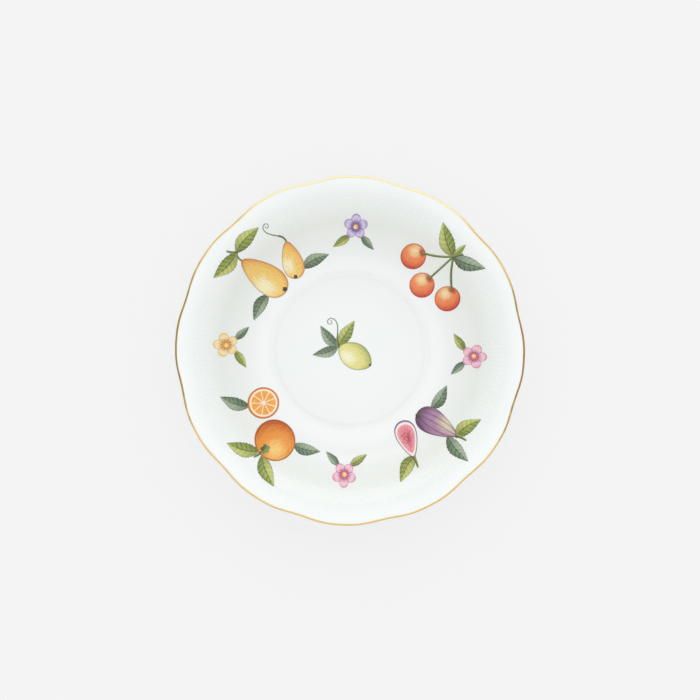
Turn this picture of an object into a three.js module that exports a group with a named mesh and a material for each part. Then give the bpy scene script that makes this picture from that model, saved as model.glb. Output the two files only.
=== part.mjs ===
// A porcelain fruit bowl on a low foot ring. Its wall flares in an S to a rim of twelve shallow lobes
// with a gilt lip, and sprays of fruit in raised enamel lie on its inside.
// Millimetres, +Z up. The origin is the middle of the foot ring, on the surface the bowl stands on.

import * as THREE from 'three';

// Overall sizes
const RIM_DIAMETER = 165; // across opposite lobes, over the gilding
const BOWL_HEIGHT = 36; // from the ground to the top of the gilding
const WELL_DIAMETER = 74; // flat middle, up to the crease at the foot of the wall

// Thicknesses of the porcelain
const WELL_THICKNESS = 3.6;
const WALL_THICKNESS = 2.6; // at the crease
const LIP_THICKNESS = 1.6; // at the rim

// Sweep of the wall: how steeply it leaves the well and reaches the lip, and how far each end pulls,
// as a share of the wall's width in plan
const WALL_START_SLOPE = 2; // degrees
const WALL_START_SHARE = 0.63;
const WALL_END_SLOPE = 10; // degrees
const WALL_END_SHARE = 0.54;

// Soft groove round the well
const CREASE_WIDTH = 5;
const CREASE_DEPTH = 0.4;

// Foot ring
const FOOT_DIAMETER = 80; // outside, at the ground
const FOOT_HEIGHT = 4.5; // from the ground to the underside of the well
const FOOT_EDGE = 2.6; // width of the bare edge at the ground
const FOOT_DRAFT = 0.6; // how far each side leans out towards the top
const FOOT_ROUND = 0.5; // rounding of the edge
const FOOT_FILLET = 1.2; // where the ring runs into the bowl

// Lobes of the rim
const LOBE_COUNT = 12;
const LOBE_DEPTH = 1.1; // from crest to notch
const LOBE_BAND = 12; // width of the border over which they fade into the round wall

// Gilding on the lip
const GILT_THICKNESS = 0.15;
const GILT_GAP = 0.05; // between lip and gilding
const GILT_UNDER = -60; // degrees round the lip, on the outside
const GILT_OVER = 80; // degrees round the lip, short of its crown

// Raised enamel. The motifs below are drawn for a wall and a ring of these sizes, and scaled to the bowl's
const DRAWN_WALL = 44.5; // width in plan
const DRAWN_RING = 59.25; // radius of the circle that the blossoms lie on
const ENAMEL_THICKNESS = 0.2;
const ENAMEL_GAP = 0.25; // between glaze and enamel
const SPRAY_DROP = 2.5; // sprays below the middle of the wall, in plan
const MOTIF_GAP = 0.4; // between neighbouring patches
const KNOT_RADIUS = 1.6; // bare knot that leaves and stems spring from

// Leaves and stems
const LEAF_LENGTH = 15;
const LEAF_WIDTH = 7.5;
const LEAF_BEND = 1; // sideways, of the midrib
const LEAF_TIP = 0.4; // least width, at both ends
const LEAF_SHOULDER = 0.8; // below 1 the leaf is widest nearer its base
const STEM_WIDTH = 0.9;
const STEM_BOW = 1.5;

// Fruit and blossom
const CHERRY_DIAMETER = 12;
const CHERRY_KNOT = 9.5; // above the middle of the spray
const CHERRY_SPREAD = 13; // of the outer cherries, sideways from the knot
const CHERRY_HANGS = [13.5, 19.5, 15]; // left, middle and right cherry below the knot
const CHERRY_LEAN = 20; // degrees, of the outer cherries towards the knot
const PAIR_DROP = 3; // of the fruit in pairs, below the middle of the spray
const PAIR_GAP = 1.2; // between the two fruits of a pair
const PEAR_LENGTH = 25;
const PEAR_WIDTH = 18;
const PEAR_LEAN = 12; // degrees to the left, as all leans
const PEAR_NECK = 0.5; // share of the width lost at the stem end
const SMALL_PEAR_LENGTH = 18;
const SMALL_PEAR_WIDTH = 13;
const SMALL_PEAR_LEAN = -26;
const SMALL_PEAR_SIDE = 104; // degrees round its neighbour from the stem end to the right, as all sides
const PEAR_STALK = 4;
const PEAR_STALK_LEANS = [-8, 18]; // large and small pear
const MANDARIN_WIDTH = 20;
const MANDARIN_LENGTH = 18.5;
const HALF_MANDARIN_DIAMETER = 15;
const HALF_MANDARIN_SIDE = 116;
const FIG_LENGTH = 21;
const FIG_WIDTH = 16.5;
const FIG_LEAN = 18;
const FIG_NECK = 0.62;
const HALF_FIG_LENGTH = 18;
const HALF_FIG_WIDTH = 14;
const HALF_FIG_LEAN = -24;
const HALF_FIG_SIDE = 112;
const LEMON_LENGTH = 18;
const LEMON_WIDTH = 12.5;
const LEMON_LEAN = 62;
const LEMON_POINT = 0.4; // sharpness of its ends
const LEMON_SHIFT = 2.5; // to the right and down from the bowl's axis
const BLOSSOM_DIAMETER = 11.5;
const PETAL_COUNT = 5;
const PETAL_NOTCH = 0.32; // depth between the petals, as a share of the radius

// Fineness of the facets
const STEPS_PER_LOBE = 8;
const WALL_STEPS = 10;
const LIP_STEPS = 5;
const FRUIT_STEPS = 20;
const LEAF_STEPS = 6;
const STEM_STEPS = 6;
const HALVINGS = 40; // of the search for a place on the wall

const rad = THREE.MathUtils.degToRad;
const point = (r, z) => new THREE.Vector2(r, z);
const direction = (degrees) => point(Math.cos(rad(degrees)), Math.sin(rad(degrees)));

// Places on the section that follow from the sizes
const turnSteps = LOBE_COUNT * STEPS_PER_LOBE;
const wellRadius = WELL_DIAMETER / 2;
const wellTop = FOOT_HEIGHT + WELL_THICKNESS;
const footRadius = FOOT_DIAMETER / 2;
const lipRadius = LIP_THICKNESS / 2;
const giltRadius = lipRadius + GILT_GAP + GILT_THICKNESS;
const giltTop = giltRadius * direction(Math.min(GILT_OVER, 90)).y;
const lipCentre = point(RIM_DIAMETER / 2 - giltRadius, BOWL_HEIGHT - giltTop);
const wallWidth = lipCentre.x - wellRadius;

// The blossoms lie half-way up the wall in plan, and the motifs fit both the wall and the ring
const blossomRadius = (wellRadius + lipCentre.x) / 2;
const motifScale = Math.min(wallWidth / DRAWN_WALL, blossomRadius / DRAWN_RING);

// Middle line of the wall, from the crease to the middle of the lip
const wallStart = point(wellRadius, wellTop - WALL_THICKNESS / 2);
const wallLine = new THREE.CubicBezierCurve(
  wallStart,
  wallStart.clone().addScaledVector(direction(WALL_START_SLOPE), WALL_START_SHARE * wallWidth),
  lipCentre.clone().addScaledVector(direction(WALL_END_SLOPE), -WALL_END_SHARE * wallWidth),
  lipCentre,
);

// Unit vector square to the wall, pointing into the bowl
function wallNormal(share) {
  const along = wallLine.getTangent(share);
  return point(-along.y, along.x);
}

// Point on one face of the wall: side 1 is the inside, side -1 the outside
function wallFace(share, side) {
  const half = THREE.MathUtils.lerp(WALL_THICKNESS, LIP_THICKNESS, share) / 2;
  return wallLine.getPoint(share).addScaledVector(wallNormal(share), side * half);
}

// Share of the wall at which one face has a given radius
function wallShare(radius, side) {
  let low = 0;
  let high = 1;
  for (let halving = 0; halving < HALVINGS; halving++) {
    const middle = (low + high) / 2;
    if (wallFace(middle, side).x < radius) low = middle;
    else high = middle;
  }
  return (low + high) / 2;
}

// Points of an arc round a centre, angles in degrees
function arc(centre, radius, from, to, steps) {
  const points = [];
  for (let step = 0; step <= steps; step++) {
    const angle = from + ((to - from) * step) / steps;
    points.push(centre.clone().addScaledVector(direction(angle), radius));
  }
  return points;
}

// The lip is half a circle that closes the wall, from its outer to its inner face
const lipArc = arc(lipCentre, lipRadius, WALL_END_SLOPE - 90, WALL_END_SLOPE + 90, LIP_STEPS);

// Foot ring of the section, from the underside of the well to the outside of the wall
function footSection() {
  const inner = footRadius - FOOT_EDGE;
  const innerTop = inner - FOOT_DRAFT;
  const outerTop = footRadius + FOOT_DRAFT;
  const wallEnd = wallFace(wallShare(outerTop + FOOT_FILLET, -1), -1);
  const hollow = arc(
    point(innerTop - FOOT_FILLET, FOOT_HEIGHT - FOOT_FILLET), FOOT_FILLET, 90, 0, 2,
  );
  const shoulder = new THREE.QuadraticBezierCurve(
    point(outerTop, wallEnd.y - FOOT_FILLET), point(outerTop, wallEnd.y), wallEnd,
  );
  return [
    ...hollow,
    ...arc(point(inner + FOOT_ROUND, FOOT_ROUND), FOOT_ROUND, 180, 270, 2),
    ...arc(point(footRadius - FOOT_ROUND, FOOT_ROUND), FOOT_ROUND, 270, 360, 2),
    ...shoulder.getPoints(3),
  ];
}

// Wall of the section between two shares, on one face
function wallSection(from, to, side) {
  const points = [];
  for (let step = 1; step < WALL_STEPS; step++) {
    points.push(wallFace(from + ((to - from) * step) / WALL_STEPS, side));
  }
  return points;
}

// Groove of the section between wall and well, walked inwards
function creaseSection() {
  const half = CREASE_WIDTH / 2;
  return [
    wallFace(wallShare(wellRadius + half, 1), 1),
    point(wellRadius + half / 3, wellTop - CREASE_DEPTH),
    point(wellRadius - half / 3, wellTop - CREASE_DEPTH),
    point(wellRadius - half, wellTop),
  ];
}

// Draws the rim in to its lobes: crests are broad and notches narrow, and the wall below stays round
function pressLobes(geometry) {
  const places = geometry.attributes.position;
  for (let index = 0; index < places.count; index++) {
    const x = places.getX(index);
    const y = places.getY(index);
    const radius = Math.hypot(x, y);
    const border = Math.max(0, 1 - (lipCentre.x - radius) / LOBE_BAND);
    if (border === 0) continue;
    const share = Math.min(1, border) ** 2;
    const notch = Math.sin((Math.atan2(y, x) * LOBE_COUNT) / 2) ** 4;
    const scale = 1 - (LOBE_DEPTH * share * notch) / radius;
    places.setXY(index, x * scale, y * scale);
  }
  return geometry;
}

// Turns a section about the bowl's axis
function turn(section) {
  return new THREE.LatheGeometry(section, turnSteps).rotateX(Math.PI / 2);
}

function finish(colour, roughness, metalness = 0) {
  return new THREE.MeshStandardMaterial({ color: colour, roughness, metalness });
}

const porcelain = finish(0xf3f7f6, 0.15);
const gold = finish(0xd8a748, 0.25, 1);
const enamel = {
  leafGreen: finish(0x9bb25a, 0.25),
  greyGreen: finish(0x7f9a86, 0.25),
  stemGreen: finish(0x84914a, 0.25),
  red: finish(0xe2703f, 0.25),
  yellow: finish(0xf2d489, 0.25),
  orange: finish(0xe9963c, 0.25),
  lilac: finish(0xb39ac9, 0.25),
  pink: finish(0xe8a9c3, 0.25),
  lemon: finish(0xe6e0a4, 0.25),
};

function named(name, geometry, material) {
  const mesh = new THREE.Mesh(geometry, material);
  mesh.name = name;
  return mesh;
}

// Porcelain body: well, wall, lip and foot ring as one fired piece
function bowlBody() {
  const section = [
    point(0, FOOT_HEIGHT),
    ...footSection(),
    ...wallSection(wallShare(footRadius + FOOT_DRAFT + FOOT_FILLET, -1), 1, -1),
    ...lipArc,
    ...wallSection(1, wallShare(wellRadius + CREASE_WIDTH / 2, 1), 1),
    ...creaseSection(),
    point(0, wellTop),
  ];
  return named('bowl_body', pressLobes(turn(section)), porcelain);
}

// Gilding: a thin skin round the edge of the lip
function giltRim() {
  const skin = (radius, from, to) => arc(lipCentre, radius, from, to, LIP_STEPS);
  const outside = skin(giltRadius, GILT_UNDER, GILT_OVER);
  const inside = skin(lipRadius + GILT_GAP, GILT_OVER, GILT_UNDER);
  return named('gilt_rim', pressLobes(turn([...outside, ...inside, outside[0]])), gold);
}

// Lays a flat blank of enamel on the inside of the bowl. The outline gives the plan point, measured
// from the bowl's axis, of each point of the blank, whose height of 0 to 1 becomes its thickness.
function layEnamel(blank, outline) {
  const places = blank.attributes.position;
  for (let index = 0; index < places.count; index++) {
    const plan = outline(places.getX(index), places.getY(index));
    const radius = plan.length();
    const lift = ENAMEL_GAP + ENAMEL_THICKNESS * places.getZ(index);
    let height = wellTop;
    let normal = point(0, 1);
    if (radius > wellRadius) {
      const share = wallShare(radius, 1);
      height = wallFace(share, 1).y;
      normal = wallNormal(share);
    }
    const scale = radius > 0 ? 1 + (normal.x * lift) / radius : 1;
    places.setXYZ(index, plan.x * scale, plan.y * scale, height + normal.y * lift);
  }
  return blank;
}

// Disc of unit radius with one ring of points inside its edge
function discBlank() {
  const section = [point(0, 0), point(0.5, 0), point(1, 0), point(1, 1), point(0.5, 1), point(0, 1)];
  return new THREE.LatheGeometry(section, FRUIT_STEPS).rotateX(Math.PI / 2);
}

// Strip from -1 to 1 across and from 0 to 1 along
function stripBlank(across, along) {
  return new THREE.BoxGeometry(2, 1, 1, across, along, 1).translate(0, 0.5, 0.5);
}

// Outlines of fruit, by the angle round them from the stem end, for half a length and width of 1
const round = (angle) => point(Math.sin(angle), Math.cos(angle));
const necked = (neck) => (angle) =>
  point(Math.sin(angle) * (1 - neck * (0.5 + 0.5 * Math.cos(angle))), Math.cos(angle));
const pointed = (angle) =>
  point(Math.sin(angle) * Math.abs(Math.sin(angle)) ** LEMON_POINT, Math.cos(angle));
const petalled = (angle) => {
  const valley = 1 - Math.abs(Math.cos((PETAL_COUNT * angle) / 2));
  return round(angle).multiplyScalar(1 - PETAL_NOTCH * valley);
};

// A fruit's outline, size and place: its middle in the spray, and its turn to the left in degrees
function shape(outline, width, length, middle, turned = 0) {
  return { outline, half: point(width / 2, length / 2), middle, turned };
}

// Moves a point of a fruit or leaf to its place in the spray
function placed(local, middle, turned) {
  return local.rotateAround(point(0, 0), rad(turned)).add(middle);
}

// Point beyond a fruit's edge, at an angle to the right of its stem end
function beside(form, degrees, reach = MOTIF_GAP) {
  const out = form.outline(rad(degrees)).multiply(form.half);
  return placed(out.setLength(out.length() + reach), form.middle, form.turned);
}

// Point at a distance from another, in the direction of +Y turned to the left
function towards(from, turned, distance) {
  return placed(point(0, distance), from, turned);
}

// One spray, whose middle lies at a radius from the bowl's axis
class Spray extends THREE.Group {
  constructor(radius) {
    super();
    this.middle = point(0, radius);
  }

  lay(name, material, blank, outline) {
    const plan = (x, y) => outline(x, y).multiplyScalar(motifScale).add(this.middle);
    this.add(named(name, layEnamel(blank, plan), material));
  }

  fruit(name, material, form) {
    this.lay(name, material, discBlank(), (x, y) => {
      const local = form.outline(Math.atan2(x, y)).multiply(form.half);
      return placed(local.multiplyScalar(Math.hypot(x, y)), form.middle, form.turned);
    });
  }

  // A leaf springs from its base, turned to the left from +Y, with its midrib bent to one side
  leaf(name, material, base, { turned, size = 1, bend = 0 }) {
    this.lay(name, material, stripBlank(2, LEAF_STEPS), (side, share) => {
      const swell = Math.sin(Math.PI * share ** LEAF_SHOULDER);
      const half = (LEAF_TIP + (size * LEAF_WIDTH - LEAF_TIP) * swell) / 2;
      const local = point(side * half + bend * LEAF_BEND * swell, share * size * LEAF_LENGTH);
      return placed(local, base, turned);
    });
  }

  // A leaf that springs from a knot
  knotLeaf(name, material, knot, growth) {
    this.leaf(name, material, towards(knot, growth.turned, KNOT_RADIUS), growth);
  }

  // A leaf that springs from the side of a fruit
  sideLeaf(name, material, form, growth) {
    this.leaf(name, material, beside(form, growth.side), growth);
  }

  // A stem runs from one point to another, bowed to one side
  stem(name, from, to, bow = 1) {
    const across = to.clone().sub(from).normalize().rotateAround(point(0, 0), Math.PI / 2);
    const middle = from.clone().lerp(to, 0.5).addScaledVector(across, bow * STEM_BOW);
    const line = new THREE.QuadraticBezierCurve(from, middle, to);
    this.lay(name, enamel.stemGreen, stripBlank(1, STEM_STEPS), (side, share) => {
      const along = line.getTangent(share);
      const right = point(along.y, -along.x);
      return line.getPoint(share).addScaledVector(right, (side * STEM_WIDTH) / 2);
    });
  }
}

// The sprays lie a little lower than the blossoms
const sprayRadius = blossomRadius - motifScale * SPRAY_DROP;

// Three cherries hanging from one knot
function cherrySpray() {
  const spray = new Spray(sprayRadius);
  const knot = point(0, CHERRY_KNOT);
  CHERRY_HANGS.forEach((hang, index) => {
    const side = index - 1;
    const middle = knot.clone().add(point(side * CHERRY_SPREAD, -hang));
    const cherry = shape(round, CHERRY_DIAMETER, CHERRY_DIAMETER, middle, side * CHERRY_LEAN);
    const top = beside(cherry, 0);
    const end = knot.clone().lerp(top, KNOT_RADIUS / knot.distanceTo(top));
    spray.fruit(`cherry_${index + 1}`, enamel.red, cherry);
    spray.stem(`cherry_stem_${index + 1}`, top, end, side);
  });
  spray.knotLeaf('cherry_leaf_1', enamel.leafGreen, knot, { turned: 66, bend: -1 });
  spray.knotLeaf('cherry_leaf_2', enamel.greyGreen, knot, { turned: -64, size: 0.95, bend: 1 });
  spray.knotLeaf('cherry_leaf_3', enamel.leafGreen, knot, { turned: 2, size: 0.4 });
  return spray;
}

// A large and a small pear
function pearSpray() {
  const spray = new Spray(sprayRadius);
  const outline = necked(PEAR_NECK);
  const start = point(-SMALL_PEAR_WIDTH / 2, -PAIR_DROP);
  const large = shape(outline, PEAR_WIDTH, PEAR_LENGTH, start, PEAR_LEAN);
  const next = beside(large, SMALL_PEAR_SIDE, PAIR_GAP + SMALL_PEAR_WIDTH / 2);
  const small = shape(outline, SMALL_PEAR_WIDTH, SMALL_PEAR_LENGTH, next, SMALL_PEAR_LEAN);
  spray.fruit('pear_1', enamel.yellow, large);
  spray.fruit('pear_2', enamel.yellow, small);
  const tops = [beside(large, 0), beside(small, 0)];
  const ends = tops.map((top, index) => towards(top, PEAR_STALK_LEANS[index], PEAR_STALK));
  tops.forEach((top, index) => spray.stem(`pear_stem_${index + 1}`, top, ends[index], 1 - 2 * index));
  spray.knotLeaf('pear_leaf_1', enamel.leafGreen, ends[0], { turned: 96, size: 0.95, bend: -1 });
  spray.knotLeaf('pear_leaf_2', enamel.leafGreen, ends[0], { turned: -84, size: 0.95, bend: -1 });
  spray.sideLeaf('pear_leaf_3', enamel.greyGreen, large, { side: -120, turned: 108, size: 0.85, bend: 1 });
  spray.sideLeaf('pear_leaf_4', enamel.greyGreen, small, { side: 120, turned: -104, size: 0.85, bend: -1 });
  return spray;
}

// A whole and a halved mandarin
function mandarinSpray() {
  const spray = new Spray(sprayRadius);
  const start = point(-HALF_MANDARIN_DIAMETER / 2, -PAIR_DROP / 2);
  const whole = shape(round, MANDARIN_WIDTH, MANDARIN_LENGTH, start);
  const next = beside(whole, HALF_MANDARIN_SIDE, PAIR_GAP + HALF_MANDARIN_DIAMETER / 2);
  const half = shape(round, HALF_MANDARIN_DIAMETER, HALF_MANDARIN_DIAMETER, next);
  spray.fruit('mandarin_whole', enamel.orange, whole);
  spray.fruit('mandarin_half', enamel.orange, half);
  spray.sideLeaf('mandarin_leaf_1', enamel.leafGreen, whole, { side: -12, turned: 70, size: 0.95, bend: 1 });
  spray.sideLeaf('mandarin_leaf_2', enamel.leafGreen, whole, { side: 12, turned: -58, size: 0.95, bend: -1 });
  spray.sideLeaf('mandarin_leaf_3', enamel.greyGreen, whole, { side: -126, turned: 122, size: 0.8, bend: 1 });
  spray.sideLeaf('mandarin_leaf_4', enamel.greyGreen, half, { side: 34, turned: -62, size: 0.85, bend: -1 });
  return spray;
}

// A whole and a halved fig
function figSpray() {
  const spray = new Spray(sprayRadius);
  const outline = necked(FIG_NECK);
  const start = point(-HALF_FIG_WIDTH / 2, -PAIR_DROP);
  const whole = shape(outline, FIG_WIDTH, FIG_LENGTH, start, FIG_LEAN);
  const next = beside(whole, HALF_FIG_SIDE, PAIR_GAP + HALF_FIG_WIDTH / 2);
  const half = shape(outline, HALF_FIG_WIDTH, HALF_FIG_LENGTH, next, HALF_FIG_LEAN);
  spray.fruit('fig_whole', enamel.lilac, whole);
  spray.fruit('fig_half', enamel.pink, half);
  spray.sideLeaf('fig_leaf_1', enamel.leafGreen, whole, { side: 0, turned: 84, size: 0.9, bend: -1 });
  spray.sideLeaf('fig_leaf_2', enamel.greyGreen, whole, { side: 42, turned: -4, size: 0.9, bend: 1 });
  spray.sideLeaf('fig_leaf_3', enamel.leafGreen, half, { side: 0, turned: -74, size: 0.85, bend: 1 });
  spray.sideLeaf('fig_leaf_4', enamel.greyGreen, whole, { side: -120, turned: 104, size: 0.8, bend: 1 });
  return spray;
}

// A lemon sprig in the well
function lemonSprig() {
  const spray = new Spray(0);
  const lemon = shape(pointed, LEMON_WIDTH, LEMON_LENGTH, point(LEMON_SHIFT, -LEMON_SHIFT), LEMON_LEAN);
  const knot = beside(lemon, 0);
  spray.fruit('lemon', enamel.lemon, lemon);
  spray.knotLeaf('lemon_leaf_1', enamel.greyGreen, knot, { turned: 112, size: 0.75, bend: -1 });
  spray.knotLeaf('lemon_leaf_2', enamel.greyGreen, knot, { turned: 44, size: 0.75, bend: -1 });
  spray.knotLeaf('lemon_leaf_3', enamel.leafGreen, knot, { turned: -30, size: 0.85 });
  return spray;
}

// A small blossom with two leaves
function blossomSprig(number, material) {
  const spray = new Spray(blossomRadius);
  const name = `blossom_${number}`;
  const blossom = shape(petalled, BLOSSOM_DIAMETER, BLOSSOM_DIAMETER, point(0, 0));
  spray.fruit(name, material, blossom);
  spray.sideLeaf(`${name}_leaf_1`, enamel.leafGreen, blossom, { side: -144, turned: 126, size: 0.55 });
  spray.sideLeaf(`${name}_leaf_2`, enamel.greyGreen, blossom, { side: 144, turned: -134, size: 0.5 });
  return spray;
}

// Turned about the bowl's axis to a bearing in degrees, counted from +X
function bearing(degrees, group) {
  group.rotation.z = rad(degrees - 90);
  return group;
}

const fruitBowl = new THREE.Group();
fruitBowl.name = 'fruit_bowl';
fruitBowl.add(
  bowlBody(),
  giltRim(),
  lemonSprig(),
  bearing(45, cherrySpray()),
  bearing(135, pearSpray()),
  bearing(225, mandarinSpray()),
  bearing(315, figSpray()),
  bearing(0, blossomSprig(1, enamel.pink)),
  bearing(90, blossomSprig(2, enamel.lilac)),
  bearing(180, blossomSprig(3, enamel.yellow)),
  bearing(270, blossomSprig(4, enamel.pink)),
);

export default fruitBowl;
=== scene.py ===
# A porcelain fruit bowl on a low foot ring: an S-shaped wall with a band of basket-weave relief, a lobed
# gilt lip, and sprays of fruit and blossom in enamel on its inside. Lengths are in millimetres.

import math
from collections import namedtuple

import bpy
import numpy as np
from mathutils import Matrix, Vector
from mathutils.bvhtree import BVHTree


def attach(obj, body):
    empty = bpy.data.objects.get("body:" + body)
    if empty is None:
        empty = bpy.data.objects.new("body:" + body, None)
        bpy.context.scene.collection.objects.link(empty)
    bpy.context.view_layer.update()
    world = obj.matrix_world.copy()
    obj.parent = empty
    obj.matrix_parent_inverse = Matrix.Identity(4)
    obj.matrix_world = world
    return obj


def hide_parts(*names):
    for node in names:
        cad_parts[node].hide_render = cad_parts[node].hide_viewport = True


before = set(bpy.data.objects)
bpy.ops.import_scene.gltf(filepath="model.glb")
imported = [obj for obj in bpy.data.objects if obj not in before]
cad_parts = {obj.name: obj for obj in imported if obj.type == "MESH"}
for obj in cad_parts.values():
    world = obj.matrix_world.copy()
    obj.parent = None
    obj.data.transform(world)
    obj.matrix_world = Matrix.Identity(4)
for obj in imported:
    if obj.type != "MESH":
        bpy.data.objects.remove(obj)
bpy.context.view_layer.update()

METRES = 0.001  # in a millimetre

# Sizes of the porcelain body, as in its solid
RIM_DIAMETER = 165
BOWL_HEIGHT = 36
WELL_DIAMETER = 74
WELL_THICKNESS = 3.6
WALL_THICKNESS = 2.6
LIP_THICKNESS = 1.6
WALL_START_SLOPE = 2
WALL_START_SHARE = 0.63  # share of the wall's width in plan
WALL_END_SLOPE = 10
WALL_END_SHARE = 0.54
CREASE_WIDTH = 5
CREASE_DEPTH = 0.4
FOOT_DIAMETER = 80
FOOT_HEIGHT = 4.5
FOOT_EDGE = 2.6
FOOT_DRAFT = 0.6
FOOT_ROUND = 0.5
FOOT_FILLET = 1.2
LOBE_COUNT = 12
LOBE_DEPTH = 1.1
LOBE_BAND = 12
LOBE_FADE = 2  # power by which the lobes fade out over the band
LOBE_NOTCH = 4  # power by which the notches between them are narrower than the lobes
GILT_OFFSET = 0.2  # of the solid gilding's outside from the lip
GILT_UNDER = -60  # degrees round the lip
GILT_OVER = 80

# Basket weave pressed into the inside of the wall
WEAVE_INNER = 57  # radius in plan
WEAVE_OUTER = 76.5
WEAVE_DEPTH = 0.12
WEAVE_FADE = 4  # rows over which it dies away towards the well
WEAVE_BORDER = 1.6  # rows over which it dies away towards the rim
WEAVE_SPREAD = 0.5  # share by which the crowns of its cells differ
STAKES = 216  # uprights of the weave, round the bowl
ROW_PITCH = 2.0
STRAND_ROUND = 0.6  # power of a strand's cross-section, which is fuller below 1
STRAND_DIP = 0.65  # share by which a strand sinks where it goes under the next
UPRIGHT_SHARE = 0.75  # height of an upright, as a share of a strand's

# Steps of the mesh, for each upright and row of the weave and between the rings of the plain parts
STAKE_STEPS = 4
ROW_STEPS = 4
WELL_RING = 18  # radius of a ring on the well and under it
HOLLOW_STEPS = 3
EDGE_STEPS = 4
GLAZED_EDGE = 2  # steps on each side of the foot's edge that carry glaze
SHOULDER_STEPS = 4
OUTSIDE_STEPS = 10
LIP_STEPS = 8
BORDER_STEPS = 5  # between lip and weave
INSIDE_STEPS = 7  # between weave and crease
CREASE_STEPS = 8
GILT_STEPS = 14
STROKE_STEPS = 4  # across a brush line
WALL_SAMPLES = 2001  # from which a place on the wall is read
WEAVE_SAMPLES = 400  # from which the length of the weave's band is read

# Glaze: radii between which a colour sets in and dies away, and the share of each colour: a painted paler
# band of light at the foot of the wall and a painted greenish shade on its steep part
LIT_BAND_START = (38, 40)
LIT_BAND_END = (50, 43)
LIT_BAND_SHARE = 0.8
STEEP_START = (48, 55)
STEEP_END = (72, 62)
STEEP_SHADE_SHARE = 0.15
HOLLOW_SHADE_SHARE = 0.3  # of grey in the hollows of the weave

# Gilding as fired: a skin that the lip carries, with a brushed edge
GILT_PROUD = 0.06
GILT_SUNK = 0.05
GILT_EDGE = 96  # degrees round the lip
GILT_WAVER = 2.5  # degrees by which the edge wavers
GILT_WAVES = ((17, 1, 0.4), (41, 0.7, 2), (89, 0.5, 0))  # count round the rim, share and start of each
# Painted reflections on the gold: darker towards both sides along X, paler towards +Y
GILT_DARK_SIDES = (70, 80)  # distances along X, to both sides, between which it gets thicker
GILT_PALE_SIDE = (54, 70)  # distances along +Y between which it gets paler
GILT_STRAY = 16  # by which these distances vary in patches

# Enamel as fired
ENAMEL_PITCH = 0.42  # of the mesh
ENAMEL_EDGE = 0.06  # height at the edge of a patch
ENAMEL_CROWN = 0.1
ENAMEL_FALL = 4  # power by which the height falls towards the edge
ENAMEL_LEVEL = 0.05  # added for each level at which a patch lies over others
ENAMEL_SUNK = 0.05
FRUIT_LEVEL = 1  # over leaves, pear stems and tendrils, which lie at 0
TOUCH_LEVEL = 2
TWIG_LEVEL = 3

# Motifs, as in their solids
SPRAY_DROP = 2.5
MOTIF_GAP = 0.4
KNOT_RADIUS = 1.6
LEAF_LENGTH = 15
LEAF_WIDTH = 7.5
LEAF_BEND = 1
LEAF_TIP = 0.4
LEAF_SHOULDER = 0.8
STEM_WIDTH = 0.9
STEM_BOW = 1.5
CHERRY_DIAMETER = 12
CHERRY_KNOT = 9.5
CHERRY_SPREAD = 13
CHERRY_HANGS = (13.5, 19.5, 15)
CHERRY_LEAN = 20
PAIR_DROP = 3
PAIR_GAP = 1.2
PEAR_LENGTH = 25
PEAR_WIDTH = 18
PEAR_LEAN = 12  # degrees to the left, as all leans
PEAR_NECK = 0.5
SMALL_PEAR_LENGTH = 18
SMALL_PEAR_WIDTH = 13
SMALL_PEAR_LEAN = -26
SMALL_PEAR_SIDE = 104  # degrees round its neighbour from the stem end to the right, as all sides
PEAR_STALK = 4
PEAR_STALK_LEANS = (-8, 18)
MANDARIN_WIDTH = 20
MANDARIN_LENGTH = 18.5
HALF_MANDARIN_DIAMETER = 15
HALF_MANDARIN_SIDE = 116
FIG_LENGTH = 21
FIG_WIDTH = 16.5
FIG_LEAN = 18
FIG_NECK = 0.62
HALF_FIG_LENGTH = 18
HALF_FIG_WIDTH = 14
HALF_FIG_LEAN = -24
HALF_FIG_SIDE = 112
LEMON_LENGTH = 18
LEMON_WIDTH = 12.5
LEMON_LEAN = 62
LEMON_POINT = 0.4
LEMON_SHIFT = 2.5
BLOSSOM_DIAMETER = 11.5
PETAL_COUNT = 5
PETAL_NOTCH = 0.32

# Brushwork that only the enamel shows
LEAF_COLUMNS = 15
LEAF_PITCH = 0.3
LEAF_TEETH = 11
TOOTH_DEPTH = 0.14  # share of the half width
TOOTH_FADE = 3  # power by which the teeth fade towards the middle rib
LEAF_ENDS = 12  # power by which the outline gathers at base and tip
LEAF_TUCK = 1.2  # under a fruit that the leaf springs from
VEIN_PAIRS = 6.8
VEIN_LEAN = 0.9
SEGMENTS = 9  # of the halved mandarin
STAMENS = 10  # of a blossom
FIG_RIBS = 3  # on each side of the whole fig
TWIG_WIDTH = 1.5
TWIG_LENGTH = 4.5
TWIG_BOW = 0.3
TENDRIL_WIDTH = 0.55
TENDRIL_PITCH = 0.25  # of the mesh
TENDRIL_WIND = 3  # power by which it winds tighter towards its end
CHERRY_DIMPLE = 0.75  # where a stem leaves the fruit, as a share of its half length
STALK_SEAT = 0.95  # the same on a pear
CALYX_DIAMETER = 4.6  # of the mandarin
EYE_DIAMETER = 2.6  # of the pears, at their lower end
BLOSSOM_EYE = 2.4

# Photograph's frame: its width at the height of the lip, its turn and its place
FRAME_WIDTH = 329.3
FRAME_TURN = 2.7
FRAME_RISE = 0.33  # of its middle above the bowl's axis
LENS = 130
SENSOR = 36
BACKGROUND = (0.905, 0.905, 0.905, 1)  # linear colour
FLOOR_SIZE = 6000
SHADOW_INNER = 84  # radii between which the bowl's shadow dies away
SHADOW_OUTER = 150
SHADOW_SHARE = 0.3
ROOM_LIGHT = (0.985, 0.99, 1.0, 1)
ROOM_STRENGTH = 0.905

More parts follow.
